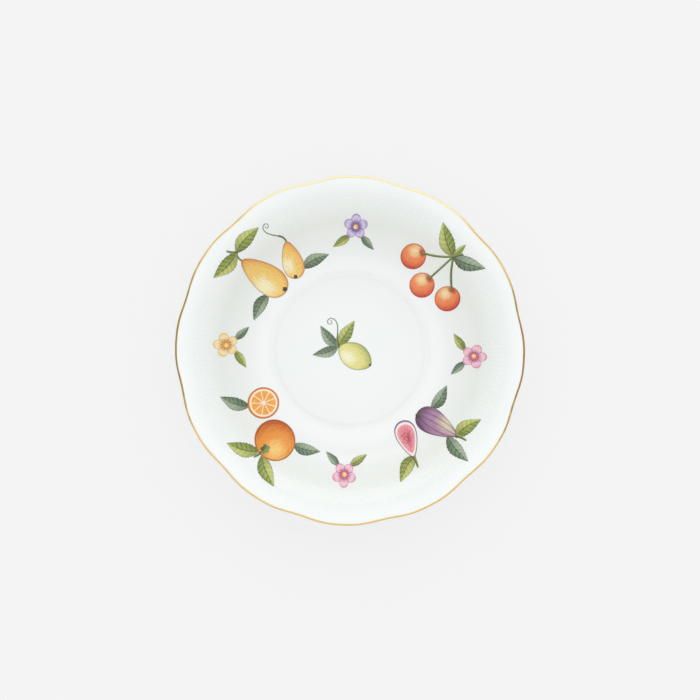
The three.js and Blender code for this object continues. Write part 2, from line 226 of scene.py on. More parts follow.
# Places on the section that follow from the sizes
WELL_RADIUS = WELL_DIAMETER / 2
WELL_TOP = FOOT_HEIGHT + WELL_THICKNESS
FOOT_RADIUS = FOOT_DIAMETER / 2
LIP_RADIUS = LIP_THICKNESS / 2
GILT_RADIUS = LIP_RADIUS + GILT_OFFSET
GILT_TOP = GILT_RADIUS * math.sin(math.radians(GILT_OVER))
LIP_CENTRE = np.array([RIM_DIAMETER / 2 - GILT_RADIUS, BOWL_HEIGHT - GILT_TOP])
WALL_WIDTH = LIP_CENTRE[0] - WELL_RADIUS
TURN_STEPS = STAKES * STAKE_STEPS
ANGLES = np.arange(TURN_STEPS) * 2 * np.pi / TURN_STEPS
BLOSSOM_RING = (WELL_RADIUS + LIP_CENTRE[0]) / 2
SPRAY_RING = BLOSSOM_RING - SPRAY_DROP


def point(x, y):
    return np.array([x, y], float)


def direction(degrees):
    angle = np.radians(degrees)
    return np.stack([np.cos(angle), np.sin(angle)], -1)


WALL_START = point(WELL_RADIUS, WELL_TOP - WALL_THICKNESS / 2)
WALL_LINE = (
    WALL_START,
    WALL_START + WALL_START_SHARE * WALL_WIDTH * direction(WALL_START_SLOPE),
    LIP_CENTRE - WALL_END_SHARE * WALL_WIDTH * direction(WALL_END_SLOPE),
    LIP_CENTRE,
)


def wall_frame(share):
    """Middle line of the wall at shares of its sweep, and the unit vectors into the bowl."""
    t = np.asarray(share, float)[..., None]
    a, b, c, d = WALL_LINE
    middle = (1 - t) ** 3 * a + 3 * (1 - t) ** 2 * t * b + 3 * (1 - t) * t**2 * c + t**3 * d
    along = (1 - t) ** 2 * (b - a) + 2 * (1 - t) * t * (c - b) + t**2 * (d - c)
    along /= np.linalg.norm(along, axis=-1, keepdims=True)
    return middle, np.stack([-along[..., 1], along[..., 0]], -1)


def wall_face(share, side):
    """Points on one face of the wall: side 1 is the inside, side -1 the outside."""
    share = np.asarray(share, float)
    middle, inward = wall_frame(share)
    half = (WALL_THICKNESS + (LIP_THICKNESS - WALL_THICKNESS) * share) / 2
    return middle + side * half[..., None] * inward


WALL_SHARES = np.linspace(0, 1, WALL_SAMPLES)


def wall_share(radius, side):
    """Share of the sweep at which one face has a given radius."""
    return np.interp(radius, wall_face(WALL_SHARES, side)[:, 0], WALL_SHARES)


def arc(centre, radius, start, end, steps):
    return centre + radius * direction(np.linspace(start, end, steps + 1))


def press_lobes(radius, angle):
    """Radius of a point of the rim with its lobes, which fade into the round wall below."""
    border = np.clip(1 - (LIP_CENTRE[0] - radius) / LOBE_BAND, 0, 1) ** LOBE_FADE
    return radius - LOBE_DEPTH * border * np.sin(angle * LOBE_COUNT / 2) ** LOBE_NOTCH


def add_piece(name, points, faces, materials, node=None):
    """Makes a smooth mesh from points in millimetres, as a piece that stands for a solid or adds to one."""
    mesh = bpy.data.meshes.new(name)
    mesh.from_pydata((points.reshape(-1, 3) * METRES).tolist(), [], faces)
    mesh.shade_smooth()
    for material in materials:
        mesh.materials.append(material)
    piece = bpy.data.objects.new(name, mesh)
    bpy.context.scene.collection.objects.link(piece)
    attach(piece, "root")
    if node:
        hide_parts(node)
    return piece


def store(mesh, name, values):
    """Keeps one number for each point of a mesh."""
    attribute = mesh.attributes.new(name, "FLOAT", "POINT")
    attribute.data.foreach_set("value", np.asarray(values, np.float32).ravel())


def ring_faces(rings, closed=False):
    """Faces between rings of points that are turned about the axis."""
    first = np.arange(rings if closed else rings - 1)[:, None] * TURN_STEPS
    second = (first + TURN_STEPS) % (rings * TURN_STEPS)
    step = np.arange(TURN_STEPS)[None, :]
    after = (step + 1) % TURN_STEPS
    return np.stack([first + step, first + after, second + after, second + step], -1).reshape(-1, 4)


# Node trees


class Wire:
    """Output of a node. Arithmetic on it adds nodes to its tree."""

    def __init__(self, tree, socket):
        self.tree = tree
        self.socket = socket

    def __add__(self, other):
        return self.tree.math("ADD", self, other)

    def __sub__(self, other):
        return self.tree.math("SUBTRACT", self, other)

    def __rsub__(self, other):
        return self.tree.math("SUBTRACT", other, self)

    def __mul__(self, other):
        return self.tree.math("MULTIPLY", self, other)

    def __truediv__(self, other):
        return self.tree.math("DIVIDE", self, other)

    def __pow__(self, other):
        return self.tree.math("POWER", self, other)

    def __abs__(self):
        return self.tree.math("ABSOLUTE", self)


class Nodes:
    """Node tree of a material or the world, with short calls for the nodes that are used here."""

    def __init__(self, owner):
        owner.use_nodes = True
        self.owner = owner
        self.graph = owner.node_tree

    def feed(self, socket, value):
        if isinstance(value, Wire):
            self.graph.links.new(value.socket, socket)
        else:
            socket.default_value = value

    def add(self, kind, inputs=(), output=0, **settings):
        node = self.graph.nodes.new("ShaderNode" + kind)
        for name, value in settings.items():
            setattr(node, name, value)
        for key, value in dict(inputs).items():
            self.feed(node.inputs[key], value)
        return Wire(self, node.outputs[output])

    def math(self, operation, *values):
        return self.add("Math", enumerate(values), operation=operation)

    def mix(self, share, first, second):
        return self.add("Mix", {0: share, 6: first, 7: second}, output=2, data_type="RGBA")

    def rise(self, value, low, high):
        """0 at low, 1 at high, and smooth between them."""
        return self.add("MapRange", {0: value, 1: low, 2: high}, interpolation_type="SMOOTHSTEP")

    def fold(self, value):
        """Distance from the nearest whole number."""
        return self.math("PINGPONG", value, 0.5)

    def vector(self, x, y):
        return self.add("CombineXYZ", {0: x, 1: y})

    def place(self):
        """Place on the piece, in millimetres."""
        metres = self.add("TexCoord", output="Object")
        return self.add("VectorMath", {0: metres, "Scale": 1 / METRES}, operation="SCALE")

    def plan(self, place):
        """X and Y of a place."""
        return [self.add("SeparateXYZ", {0: place}, output=axis) for axis in "XY"]

    def noise(self, place, scale, detail=2.0):
        return self.add("TexNoise", {"Vector": place, "Scale": scale, "Detail": detail})

    def spots(self, place, scale, size):
        """1 in round spots of a size that is a share of their spacing."""
        middle = self.add("TexVoronoi", {"Vector": place, "Scale": scale})
        return 1 - self.rise(middle, size * 0.6, size)

    def stored(self, name):
        return self.add("Attribute", output="Fac", attribute_name=name)

    def drawn(self):
        """Place in a motif, from -1 to 1 across it and along it."""
        x, y = self.plan(self.add("UVMap", uv_map="drawn"))
        return x * 2 - 1, y * 2 - 1


def hypot(x, y):
    return (x * x + y * y) ** 0.5


def srgb(red, green, blue):
    """Linear colour of a screen colour."""
    shares = np.array([red, green, blue]) / 255
    linear = np.where(shares > 0.04045, ((shares + 0.055) / 1.055) ** 2.4, shares / 12.92)
    return (*linear.tolist(), 1.0)


def surface(name, make, **settings):
    """A material whose function gives colour, roughness and, where it has relief, height in millimetres."""
    tree = Nodes(bpy.data.materials.new(name))
    shader = tree.graph.nodes["Principled BSDF"]
    colour, roughness, height = make(tree)
    tree.feed(shader.inputs["Base Color"], colour)
    tree.feed(shader.inputs["Roughness"], roughness)
    if height is not None:
        bump = tree.add("Bump", {"Height": height, "Strength": 1.0, "Distance": METRES})
        tree.feed(shader.inputs["Normal"], bump)
    for socket, value in settings.items():
        tree.feed(shader.inputs[socket], value)
    return tree.owner


# Porcelain and gold


def porcelain(tree):
    """Cool white body under a glaze, with a painted paler band of light at the foot of the wall, a painted
    greenish shade on the steep part of the wall, and grey in the weave's hollows that is glaze pooled there
    and painted shade."""
    place = tree.place()
    radius = hypot(*tree.plan(place))
    cloud = tree.noise(place, scale=0.04)
    # Painted light: a paler band just outside the crease
    lit_band = tree.rise(radius, *LIT_BAND_START) * tree.rise(radius, *LIT_BAND_END)
    # Painted shade: a darker greenish grey on the steep part of the wall
    steep = tree.rise(radius, *STEEP_START) * tree.rise(radius, *STEEP_END)
    colour = tree.mix(cloud, srgb(241, 246, 244), srgb(246, 248, 247))
    colour = tree.mix(lit_band * LIT_BAND_SHARE, colour, srgb(248, 251, 250))
    colour = tree.mix(steep * STEEP_SHADE_SHARE, colour, srgb(234, 240, 224))
    # Grey in the hollows of the weave: glaze pooled there, and painted shade
    colour = tree.mix(tree.stored("hollow") * HOLLOW_SHADE_SHARE, colour, srgb(226, 230, 222))
    roughness = tree.noise(place, scale=0.3) * 0.05 + 0.06
    return colour, roughness, tree.noise(place, scale=0.25) * 0.02


def bare_porcelain(tree):
    """Unglazed edge of the foot ring, ground flat and slightly soiled by use."""
    place = tree.place()
    grain = tree.noise(place, scale=6.0, detail=4.0)
    cloud = tree.noise(place, scale=0.5, detail=4.0)
    colour = tree.mix(cloud, srgb(222, 214, 200), srgb(240, 237, 230))
    colour = tree.mix(tree.spots(place, scale=1.1, size=0.16) * 0.5, colour, srgb(170, 155, 135))
    return colour, grain * 0.2 + 0.6, grain * 0.03


def gold(tree):
    """Burnished gold with fine brush marks, with a painted dark reflection towards both sides along X and a
    painted pale reflection towards +Y.
    """
    place = tree.place()
    patchy = tree.noise(place, scale=0.25, detail=3.0)
    brushed = tree.noise(place, scale=2.5, detail=3.0)
    stray = (patchy - 0.5) * GILT_STRAY
    x, y = tree.plan(place)
    # Painted reflections: darker towards both sides along X, paler towards +Y
    dark_reflection = tree.rise(abs(x) + stray, *GILT_DARK_SIDES)
    pale_reflection = tree.rise(y + stray, *GILT_PALE_SIDE)
    colour = tree.mix(patchy, srgb(222, 188, 112), srgb(240, 212, 146))
    colour = tree.mix(dark_reflection * 0.8, colour, srgb(150, 116, 48))
    colour = tree.mix(pale_reflection * 0.8, colour, srgb(248, 234, 184))
    return colour, brushed * 0.16 + patchy * 0.1 + 0.12, brushed * 0.01


# Enamel colours


def gloss(tree):
    """Roughness of fired enamel, a little duller where the brush left it thin."""
    return tree.noise(tree.place(), scale=1.2) * 0.16 + 0.2


def brush_strokes(tree, across, along, scale):
    """Streaks about 0, drawn out along the second of two places."""
    return tree.noise(tree.vector(across, along), scale, detail=3.0) - 0.5


def outlined(tree, colour, line, start, end, strength):
    """Colour with a line that sets in between two shares of the way to the motif's edge."""
    edge = tree.rise(tree.stored("rim"), start, end)
    return tree.mix(edge * strength, colour, line)


def leaf_paint(light, middle, dark, line):
    def make(tree):
        x, y = tree.drawn()
        side = abs(x)
        vein = y * (VEIN_PAIRS / 2) - side * VEIN_LEAN
        strokes = brush_strokes(tree, vein * 2.6, x * 1.6, scale=1.3)
        patchy = tree.noise(tree.place(), scale=0.3) - 0.5
        # One half lies in the light
        shade = tree.rise(x + strokes * 1.1 + patchy * 0.8, -0.45, 0.6)
        colour = tree.mix(shade, light, middle)
        # Dark along the side veins and towards the base
        veined = 1 - tree.rise(tree.fold(vein), 0.025, 0.3)
        colour = tree.mix(veined * (shade * 0.45 + 0.2), colour, dark)
        colour = tree.mix(tree.rise(y, 0.1, -1.0) * 0.5, colour, dark)
        # Middle rib and outline
        rib = 1 - tree.rise(side, 0.03, 0.11)
        colour = tree.mix(rib * 0.75, colour, line)
        colour = outlined(tree, colour, line, start=0.84, end=0.98, strength=0.65)
        return colour, gloss(tree), None

    return make


def fruit_paint(pale, body, deep, line, lit=(-0.35, 0.3), specks=0.0, ribs=0, dimple=0.0):
    def make(tree):
        x, y = tree.drawn()
        # Meridians, which meet a little beyond the two ends
        longitude = x / (1.06 - y * y) ** 0.5
        strokes = brush_strokes(tree, longitude * 5, y * 1.1, scale=1.6)
        # Shade away from the lit spot
        tone = hypot(x - lit[0], y - lit[1]) + strokes * 0.7
        colour = tree.mix(tree.rise(tone, 0.1, 0.7), pale, body)
        colour = tree.mix(tree.rise(tone, 0.75, 1.45), colour, deep)
        if specks:
            colour = tree.mix(tree.spots(tree.place(), scale=0.75, size=0.2) * specks, colour, line)
        if ribs:
            ribbed = 1 - tree.rise(tree.fold(longitude * ribs + strokes * 0.3), 0.01, 0.225)
            colour = tree.mix(ribbed * 0.5, colour, line)
        if dimple:
            near = tree.rise(hypot(x, (y - CHERRY_DIMPLE) * 1.6), 0.5, 0.1)
            colour = tree.mix(near * dimple, colour, line)
        colour = outlined(tree, colour, line, start=0.9, end=0.99, strength=0.6)
        return colour, gloss(tree), None

    return make


def petal_paint(pale, body, deep):
    def make(tree):
        x, y = tree.drawn()
        radius = hypot(x, y)
        petal = tree.math("ARCTAN2", x, y) * (PETAL_COUNT / (2 * math.pi))
        strokes = brush_strokes(tree, petal * 7, radius * 1.4, scale=1.5)
        # Deep in the heart, then pale, then the body colour
        tone = radius + strokes * 0.8
        colour = tree.mix(tree.rise(tone, 0.25, 0.8), deep, pale)
        colour = tree.mix(tree.rise(tone, 0.55, 1.05), colour, body)
        # Deep between the petals and along their edge
        colour = tree.mix(tree.rise(tree.fold(petal), 0.39, 0.49) * 0.6, colour, deep)
        colour = outlined(tree, colour, deep, start=0.88, end=0.98, strength=0.55)
        # A dot at the end of each stamen
        stamen = tree.fold(petal * (STAMENS / PETAL_COUNT)) * radius
        dots = tree.rise(hypot(stamen, radius - 0.36), 0.08, 0.04)
        colour = tree.mix(dots * 0.8, colour, srgb(110, 70, 50))
        return colour, gloss(tree), None

    return make


def stem_paint(light, dark):
    def make(tree):
        side, _ = tree.drawn()
        patchy = tree.noise(tree.place(), scale=0.8) - 0.5
        colour = tree.mix(tree.rise(side + patchy * 1.2, -0.6, 0.6), light, dark)
        return colour, gloss(tree), None

    return make


def cut_mandarin(tree):
    """Rind, pith and segments of the halved mandarin."""
    x, y = tree.drawn()
    radius = hypot(x, y)
    turn = tree.math("ARCTAN2", x, y) * (SEGMENTS / (2 * math.pi))
    cells = brush_strokes(tree, turn * 6, radius * 3, scale=1.4)
    colour = tree.mix(tree.rise(cells, -0.2, 0.2), srgb(248, 190, 92), srgb(236, 140, 44))
    # Pith between the segments, in their middle and round them
    pith = srgb(252, 240, 212)
    colour = tree.mix(1 - tree.rise(tree.fold(turn) * radius, 0.015, 0.06), colour, pith)
    colour = tree.mix(1 - tree.rise(radius, 0.08, 0.14), colour, pith)
    colour = tree.mix(tree.rise(radius, 0.74, 0.8), colour, pith)
    # Rind
    colour = tree.mix(tree.rise(radius, 0.86, 0.91), colour, srgb(226, 124, 36))
    colour = outlined(tree, colour, srgb(140, 70, 30), start=0.95, end=1.0, strength=0.6)
    return colour, gloss(tree), None


def cut_fig(tree):
    """Skin, pith, flesh and seeds of the halved fig."""
    _, y = tree.drawn()
    rim = tree.stored("rim")
    grain = tree.noise(tree.place(), scale=1.1, detail=3.0) - 0.5
    colour = tree.mix(tree.rise(rim + grain * 0.5, 0.1, 0.75), srgb(196, 78, 100), srgb(238, 150, 166))
    seeds = tree.spots(tree.place(), scale=1.0, size=0.3) * (1 - tree.rise(rim, 0.6, 0.75))
    colour = tree.mix(seeds * 0.85, colour, srgb(250, 230, 170))
    # Pith, then the skin, which is thinner towards the stem end
    colour = tree.mix(tree.rise(rim, 0.74, 0.8), colour, srgb(250, 240, 222))
    colour = tree.mix(tree.rise(rim - (y + 1) * 0.02, 0.87, 0.93), colour, srgb(138, 108, 164))
    colour = outlined(tree, colour, srgb(78, 56, 98), start=0.95, end=1.0, strength=0.6)
    return colour, gloss(tree), None


PORCELAIN = surface("porcelain", porcelain)
BARE_PORCELAIN = surface("bare_porcelain", bare_porcelain)
GOLD = surface("gold", gold, Metallic=1.0)

LEAF_GREEN = surface("leaf_green", leaf_paint(
    light=srgb(196, 202, 116), middle=srgb(142, 158, 70), dark=srgb(80, 94, 42), line=srgb(56, 56, 36),
))
GREY_GREEN = surface("grey_green", leaf_paint(
    light=srgb(164, 180, 152), middle=srgb(108, 131, 102), dark=srgb(57, 74, 56), line=srgb(40, 42, 38),
))
STEM_GREEN = surface("stem_green", stem_paint(light=srgb(140, 156, 84), dark=srgb(78, 90, 50)))
DARK_LINE = surface("dark_line", stem_paint(light=srgb(92, 88, 64), dark=srgb(52, 46, 40)))
CHERRY_RED = surface("cherry_red", fruit_paint(
    pale=srgb(250, 222, 166), body=srgb(240, 138, 84), deep=srgb(202, 66, 44), line=srgb(150, 45, 30),
    dimple=0.8,
))
PEAR_YELLOW = surface("pear_yellow", fruit_paint(
    pale=srgb(251, 241, 196), body=srgb(246, 206, 112), deep=srgb(230, 138, 72), line=srgb(160, 92, 50),
    lit=(-0.4, -0.2), specks=0.6,
))
MANDARIN_ORANGE = surface("mandarin_orange", fruit_paint(
    pale=srgb(251, 208, 124), body=srgb(238, 150, 56), deep=srgb(192, 86, 32), line=srgb(118, 56, 28),
    specks=0.35,
))
CUT_MANDARIN = surface("cut_mandarin", cut_mandarin)
FIG_LILAC = surface("fig_lilac", fruit_paint(
    pale=srgb(226, 210, 186), body=srgb(174, 134, 166), deep=srgb(108, 70, 106), line=srgb(74, 44, 66),
    lit=(-0.3, 0.45), ribs=FIG_RIBS,
))
CUT_FIG = surface("cut_fig", cut_fig)
LEMON_YELLOW = surface("lemon_yellow", fruit_paint(
    pale=srgb(247, 244, 206), body=srgb(228, 222, 140), deep=srgb(172, 176, 96), line=srgb(112, 116, 70),
    specks=0.25,
))
PETAL_PINK = surface("petal_pink", petal_paint(
    pale=srgb(250, 226, 232), body=srgb(236, 164, 192), deep=srgb(204, 94, 144),
))
PETAL_LILAC = surface("petal_lilac", petal_paint(
    pale=srgb(234, 224, 245), body=srgb(186, 162, 216), deep=srgb(128, 98, 168),
))
PETAL_YELLOW = surface("petal_yellow", petal_paint(
    pale=srgb(252, 244, 206), body=srgb(246, 216, 122), deep=srgb(224, 158, 70),
))


# Porcelain body


def strand(across, along):
    """Height of a strand of the weave, from the sines of its place across and along one cell."""
    return across**STRAND_ROUND * (1 - STRAND_DIP + STRAND_DIP * along)


def weave(row, stake, rows):
    """How far the basket weave lies below its crowns, 0 to 1, at places counted in rows and uprights."""
    u = np.sin(np.pi * (stake % 1))
    v = np.sin(np.pi * (row % 1))
    over = (np.floor(row) + np.floor(stake)) % 2 == 0
    crowns = 1 - WEAVE_SPREAD * np.random.default_rng(STAKES).random((rows + 1, STAKES))
    crown = crowns[np.floor(row).astype(int), np.floor(stake).astype(int)]
    return 1 - crown * np.where(over, strand(v, u), UPRIGHT_SHARE * strand(u, v))


def foot_section():
    """Foot ring from the underside of the well to the outside of the wall: fillet, edge and shoulder."""
    inner = FOOT_RADIUS - FOOT_EDGE
    hollow = point(inner - FOOT_DRAFT - FOOT_FILLET, FOOT_HEIGHT - FOOT_FILLET)
    outer_top = FOOT_RADIUS + FOOT_DRAFT
    end = wall_face(wall_share(outer_top + FOOT_FILLET, -1), -1)
    t = np.linspace(0, 1, SHOULDER_STEPS + 1)[:, None]
    shoulder = (
        (1 - t) ** 2 * point(outer_top, end[1] - FOOT_FILLET)
        + 2 * (1 - t) * t * point(outer_top, end[1])
        + t**2 * end
    )
    edge = np.concatenate([
        arc(point(inner + FOOT_ROUND, FOOT_ROUND), FOOT_ROUND, 180, 270, EDGE_STEPS),
        arc(point(FOOT_RADIUS - FOOT_ROUND, FOOT_ROUND), FOOT_ROUND, 270, 360, EDGE_STEPS),
    ])
    return arc(hollow, FOOT_FILLET, 90, 0, HOLLOW_STEPS), edge, shoulder


def crease_section():
    """Soft groove between wall and well, walked inwards."""
    half = CREASE_WIDTH / 2
    radius = np.linspace(WELL_RADIUS + half, WELL_RADIUS - half, CREASE_STEPS + 1)
    floor = np.where(radius > WELL_RADIUS, wall_face(wall_share(radius, 1), 1)[:, 1], WELL_TOP)
    share = 0.5 + 0.5 * np.cos(np.pi * (radius - WELL_RADIUS) / half)
    return np.stack([radius, floor - CREASE_DEPTH * share], -1)


def weave_shares():
    """Shares of the inside wall at even steps through the weave, walked inwards, and its number of rows."""
    shares = np.linspace(wall_share(WEAVE_OUTER, 1), wall_share(WEAVE_INNER, 1), WEAVE_SAMPLES)
    steps = np.linalg.norm(np.diff(wall_face(shares, 1), axis=0), axis=1)
    length = np.concatenate([[0], np.cumsum(steps)])
    rows = round(length[-1] / ROW_PITCH)
    return np.interp(np.linspace(0, length[-1], rows * ROW_STEPS + 1), length, shares), rows


def body_section():
    """Section of the body from the middle of its underside to the middle of its well, without the two
    middle points; for each point the vector into the bowl, which is 0 outside the weave, and its row in the
    weave; the weave's number of rows; and the first and last ring of the foot's bare edge."""
    hollow, edge, shoulder = foot_section()
    shares, rows = weave_shares()
    start = wall_share(FOOT_RADIUS + FOOT_DRAFT + FOOT_FILLET, -1)
    end = wall_share(WELL_RADIUS + CREASE_WIDTH / 2, 1)
    before = [
        [point(WELL_RING, FOOT_HEIGHT)],
        hollow,
        edge,
        shoulder,
        wall_face(np.linspace(start, 1, OUTSIDE_STEPS + 1)[1:-1], -1),
        arc(LIP_CENTRE, LIP_RADIUS, WALL_END_SLOPE - 90, WALL_END_SLOPE + 90, LIP_STEPS),
        wall_face(np.linspace(1, shares[0], BORDER_STEPS + 1)[1:-1], 1),
    ]
    after = [
        wall_face(np.linspace(shares[-1], end, INSIDE_STEPS + 1)[1:-1], 1),
        crease_section(),
        [point(WELL_RING, WELL_TOP)],
    ]
    section = np.concatenate([*before, wall_face(shares, 1), *after])
    first = sum(map(len, before))
    inward = np.zeros_like(section)
    inward[first:first + len(shares)] = wall_frame(shares)[1]
    row = np.zeros(len(section))
    row[first:first + len(shares)] = np.linspace(0, rows, len(shares))
    bare = sum(map(len, before[:2]))
    return section, inward, row, rows, (bare + GLAZED_EDGE, bare + len(edge) - 1 - GLAZED_EDGE)


def make_body():
    """Body with its weave and lobes. Returns the search tree by which the enamel is laid on it."""
    section, inward, row, rows, bare = body_section()
    stakes = np.arange(TURN_STEPS) / STAKE_STEPS
    depth = weave(row[:, None], stakes[None, :], rows)
    depth *= np.clip((rows - row) / WEAVE_FADE, 0, 1)[:, None] * np.clip(row / WEAVE_BORDER, 0, 1)[:, None]
    depth *= np.any(inward, axis=1)[:, None]
    places = section[:, None] - WEAVE_DEPTH * depth[..., None] * inward[:, None]
    radius = press_lobes(places[..., 0], ANGLES)
    rings = np.stack([radius * np.cos(ANGLES), radius * np.sin(ANGLES), places[..., 1]], -1)
    poles = np.array([[0, 0, FOOT_HEIGHT], [0, 0, WELL_TOP]])
    points = np.concatenate([rings.reshape(-1, 3), poles])
    under, over = len(points) - 2, len(points) - 1
    step = np.arange(TURN_STEPS)
    after = (step + 1) % TURN_STEPS
    last = (len(section) - 1) * TURN_STEPS
    faces = ring_faces(len(section)).tolist()
    faces += np.stack([after, step, np.full_like(step, under)], -1).tolist()
    faces += np.stack([last + step, last + after, np.full_like(step, over)], -1).tolist()
    body = add_piece("body", points, faces, [PORCELAIN, BARE_PORCELAIN], "bowl_body")
    store(body.data, "hollow", np.concatenate([depth.ravel(), [0, 0]]))
    slots = np.zeros(len(faces), np.int32)
    slots[bare[0] * TURN_STEPS:bare[1] * TURN_STEPS] = 1
    body.data.polygons.foreach_set("material_index", slots)
    return BVHTree.FromPolygons(points.tolist(), faces)


def make_gilding():
    """Skin of gold round the edge of the lip, sunk a little into it, with an edge laid by brush."""
    waver = sum(share * np.sin(ANGLES * count + start) for count, share, start in GILT_WAVES)
    end = GILT_EDGE + GILT_WAVER * waver
    share = np.linspace(0, 1, GILT_STEPS + 1)[:, None]
    angle = GILT_UNDER + (end - GILT_UNDER) * share
    out = direction(angle)
    face = LIP_CENTRE + (LIP_RADIUS + GILT_PROUD) * out
    back = LIP_CENTRE + (LIP_RADIUS - GILT_SUNK) * out
    section = np.concatenate([face, back[::-1]])
    radius = press_lobes(section[..., 0], ANGLES)
    rings = np.stack([radius * np.cos(ANGLES), radius * np.sin(ANGLES), section[..., 1]], -1)
    faces = ring_faces(len(section), closed=True).tolist()
    add_piece("gilding", rings, faces, [GOLD], "gilt_rim")


# Enamel: each patch is a grid of plan points, with their places in the motif and their nearness to its edge

Grid = namedtuple("Grid", "plan drawn rim")


def placed(local, middle, turned):
    """Points turned to the left by degrees and moved to a middle."""
    cos, sin = direction(turned)
    x, y = local[..., 0], local[..., 1]
    return np.stack([x * cos - y * sin, x * sin + y * cos], -1) + middle


def towards(start, turned, distance):
    """Point at a distance from another, in the direction of +Y turned to the left."""
    return placed(point(0, distance), start, turned)


class Form:
    """A fruit's outline by the angle from its stem end, its size, its middle and its turn to the left."""

    def __init__(self, outline, width, length, middle, turned=0):
        self.outline = outline
        self.half = point(width, length) / 2
        self.middle = middle
        self.turned = turned

    def inside(self, x, y):
        """Point of the fruit at shares of its half width and half length."""
        return placed(point(x, y) * self.half, self.middle, self.turned)

    def beside(self, degrees, reach=MOTIF_GAP):
        """Point beyond the edge, at an angle to the right of the stem end."""
        out = self.outline(np.radians(degrees)) * self.half
        length = np.linalg.norm(out)
        return placed(out * (length + reach) / length, self.middle, self.turned)

    def grid(self):
        count = int(2 * max(self.half) / ENAMEL_PITCH) + 2
        line = np.linspace(-1, 1, count)
        a, b = np.meshgrid(line, line)
        x = a * np.sqrt(1 - b**2 / 2)
        y = b * np.sqrt(1 - a**2 / 2)
        rim = np.hypot(x, y)
        drawn = rim[..., None] * self.outline(np.arctan2(x, y))
        return Grid(placed(drawn * self.half, self.middle, self.turned), drawn, rim)


def round_outline(angle):
    return np.stack([np.sin(angle), np.cos(angle)], -1)


def necked(neck):
    def outline(angle):
        width = np.sin(angle) * (1 - neck * (0.5 + 0.5 * np.cos(angle)))
        return np.stack([width, np.cos(angle)], -1)

    return outline


def pointed(angle):
    width = np.sin(angle) * np.abs(np.sin(angle)) ** LEMON_POINT
    return np.stack([width, np.cos(angle)], -1)


def petalled(angle):
    valley = 1 - np.abs(np.cos(PETAL_COUNT * angle / 2))
    return round_outline(angle) * (1 - PETAL_NOTCH * valley)[..., None]


def leaf_grid(base, turned, size, bend, tuck):
    """A leaf with a toothed edge, whose base reaches back under what it springs from."""
    length = size * LEAF_LENGTH
    line = np.linspace(0, 1, int(length / LEAF_PITCH) + 2)
    side, share = np.meshgrid(np.linspace(-1, 1, LEAF_COLUMNS), line)
    swell = np.sin(np.pi * share**LEAF_SHOULDER)
    half = (LEAF_TIP + (size * LEAF_WIDTH - LEAF_TIP) * swell) / 2
    tooth = (share * LEAF_TEETH * math.sqrt(size)) % 1 - 1
    half = half * (1 + TOOTH_DEPTH * tooth * np.abs(side) ** TOOTH_FADE)
    along = share * (length + tuck) - tuck
    local = np.stack([side * half + bend * LEAF_BEND * swell, along], -1)
    drawn = np.stack([side, 2 * share - 1], -1)
    rim = np.maximum(np.abs(side), np.abs(2 * share - 1) ** LEAF_ENDS)
    return Grid(placed(local, base, turned), drawn, rim)


def strip_grid(line, width):
    """A brush line along points, as wide as a number or a number for each point says."""
    along = np.gradient(line, axis=0)
    along /= np.linalg.norm(along, axis=1, keepdims=True)
    right = np.stack([along[:, 1], -along[:, 0]], -1)
    side = np.linspace(-1, 1, STROKE_STEPS + 1)
    half = np.broadcast_to(np.asarray(width, float) / 2, len(line))
    plan = line[:, None] + side[None, :, None] * half[:, None, None] * right[:, None]
    share = np.linspace(-1, 1, len(line))
    drawn = np.stack(np.meshgrid(side, share), -1)
    return Grid(plan, drawn, np.abs(drawn[..., 0]))


def bowed(start, end, bow):
    """Points of a line from one point to another, bowed to one side."""
    across = placed(end - start, 0, 90) / np.linalg.norm(end - start)
    middle = (start + end) / 2 + bow * STEM_BOW * across
    t = np.linspace(0, 1, int(np.linalg.norm(end - start) / ENAMEL_PITCH) + 4)[:, None]
    return (1 - t) ** 2 * start + 2 * (1 - t) * t * middle + t**2 * end


def curl(start, turned, length, turns):
    """Points of a tendril that winds up towards its end."""
    steps = int(length / TENDRIL_PITCH)
    share = np.linspace(0, 1, steps)
    heading = turned + 90 + 360 * turns * share**TENDRIL_WIND
    walk = direction(heading) * length / steps
    return start + np.cumsum(walk, axis=0) - walk[0]


def drape(plan, lift):
    """Points over plan points, raised by a lift square to the inside of the bowl."""
    flat = plan.reshape(-1, 2)
    down = Vector((0, 0, -1))
    height = [BODY_TREE.ray_cast(Vector((x, y, BOWL_HEIGHT)), down)[0].z for x, y in flat]
    radius = np.linalg.norm(flat, axis=1)
    normal = wall_frame(wall_share(radius, 1))[1]
    normal = np.where((radius > WELL_RADIUS)[:, None], normal, point(0, 1))
    raised = normal * np.broadcast_to(lift, plan.shape[:2]).reshape(-1, 1)
    out = 1 + raised[:, 0] / np.maximum(radius, 1)
    return np.stack([flat[:, 0] * out, flat[:, 1] * out, np.array(height) + raised[:, 1]], -1)


def patch_faces(rows, columns):
    """Faces of a closed patch: its top, its underside and the wall round its edge."""
    index = np.arange(rows * columns).reshape(rows, columns)
    top = np.stack([index[:-1, :-1], index[:-1, 1:], index[1:, 1:], index[1:, :-1]], -1).reshape(-1, 4)
    count = rows * columns
    round_edge = np.concatenate([index[0, :-1], index[:-1, -1], index[-1, :0:-1], index[:0:-1, 0]])
    after = np.roll(round_edge, -1)
    wall = np.stack([round_edge + count, after + count, after, round_edge], -1)
    return np.concatenate([top, top[:, ::-1] + count, wall]), len(wall)


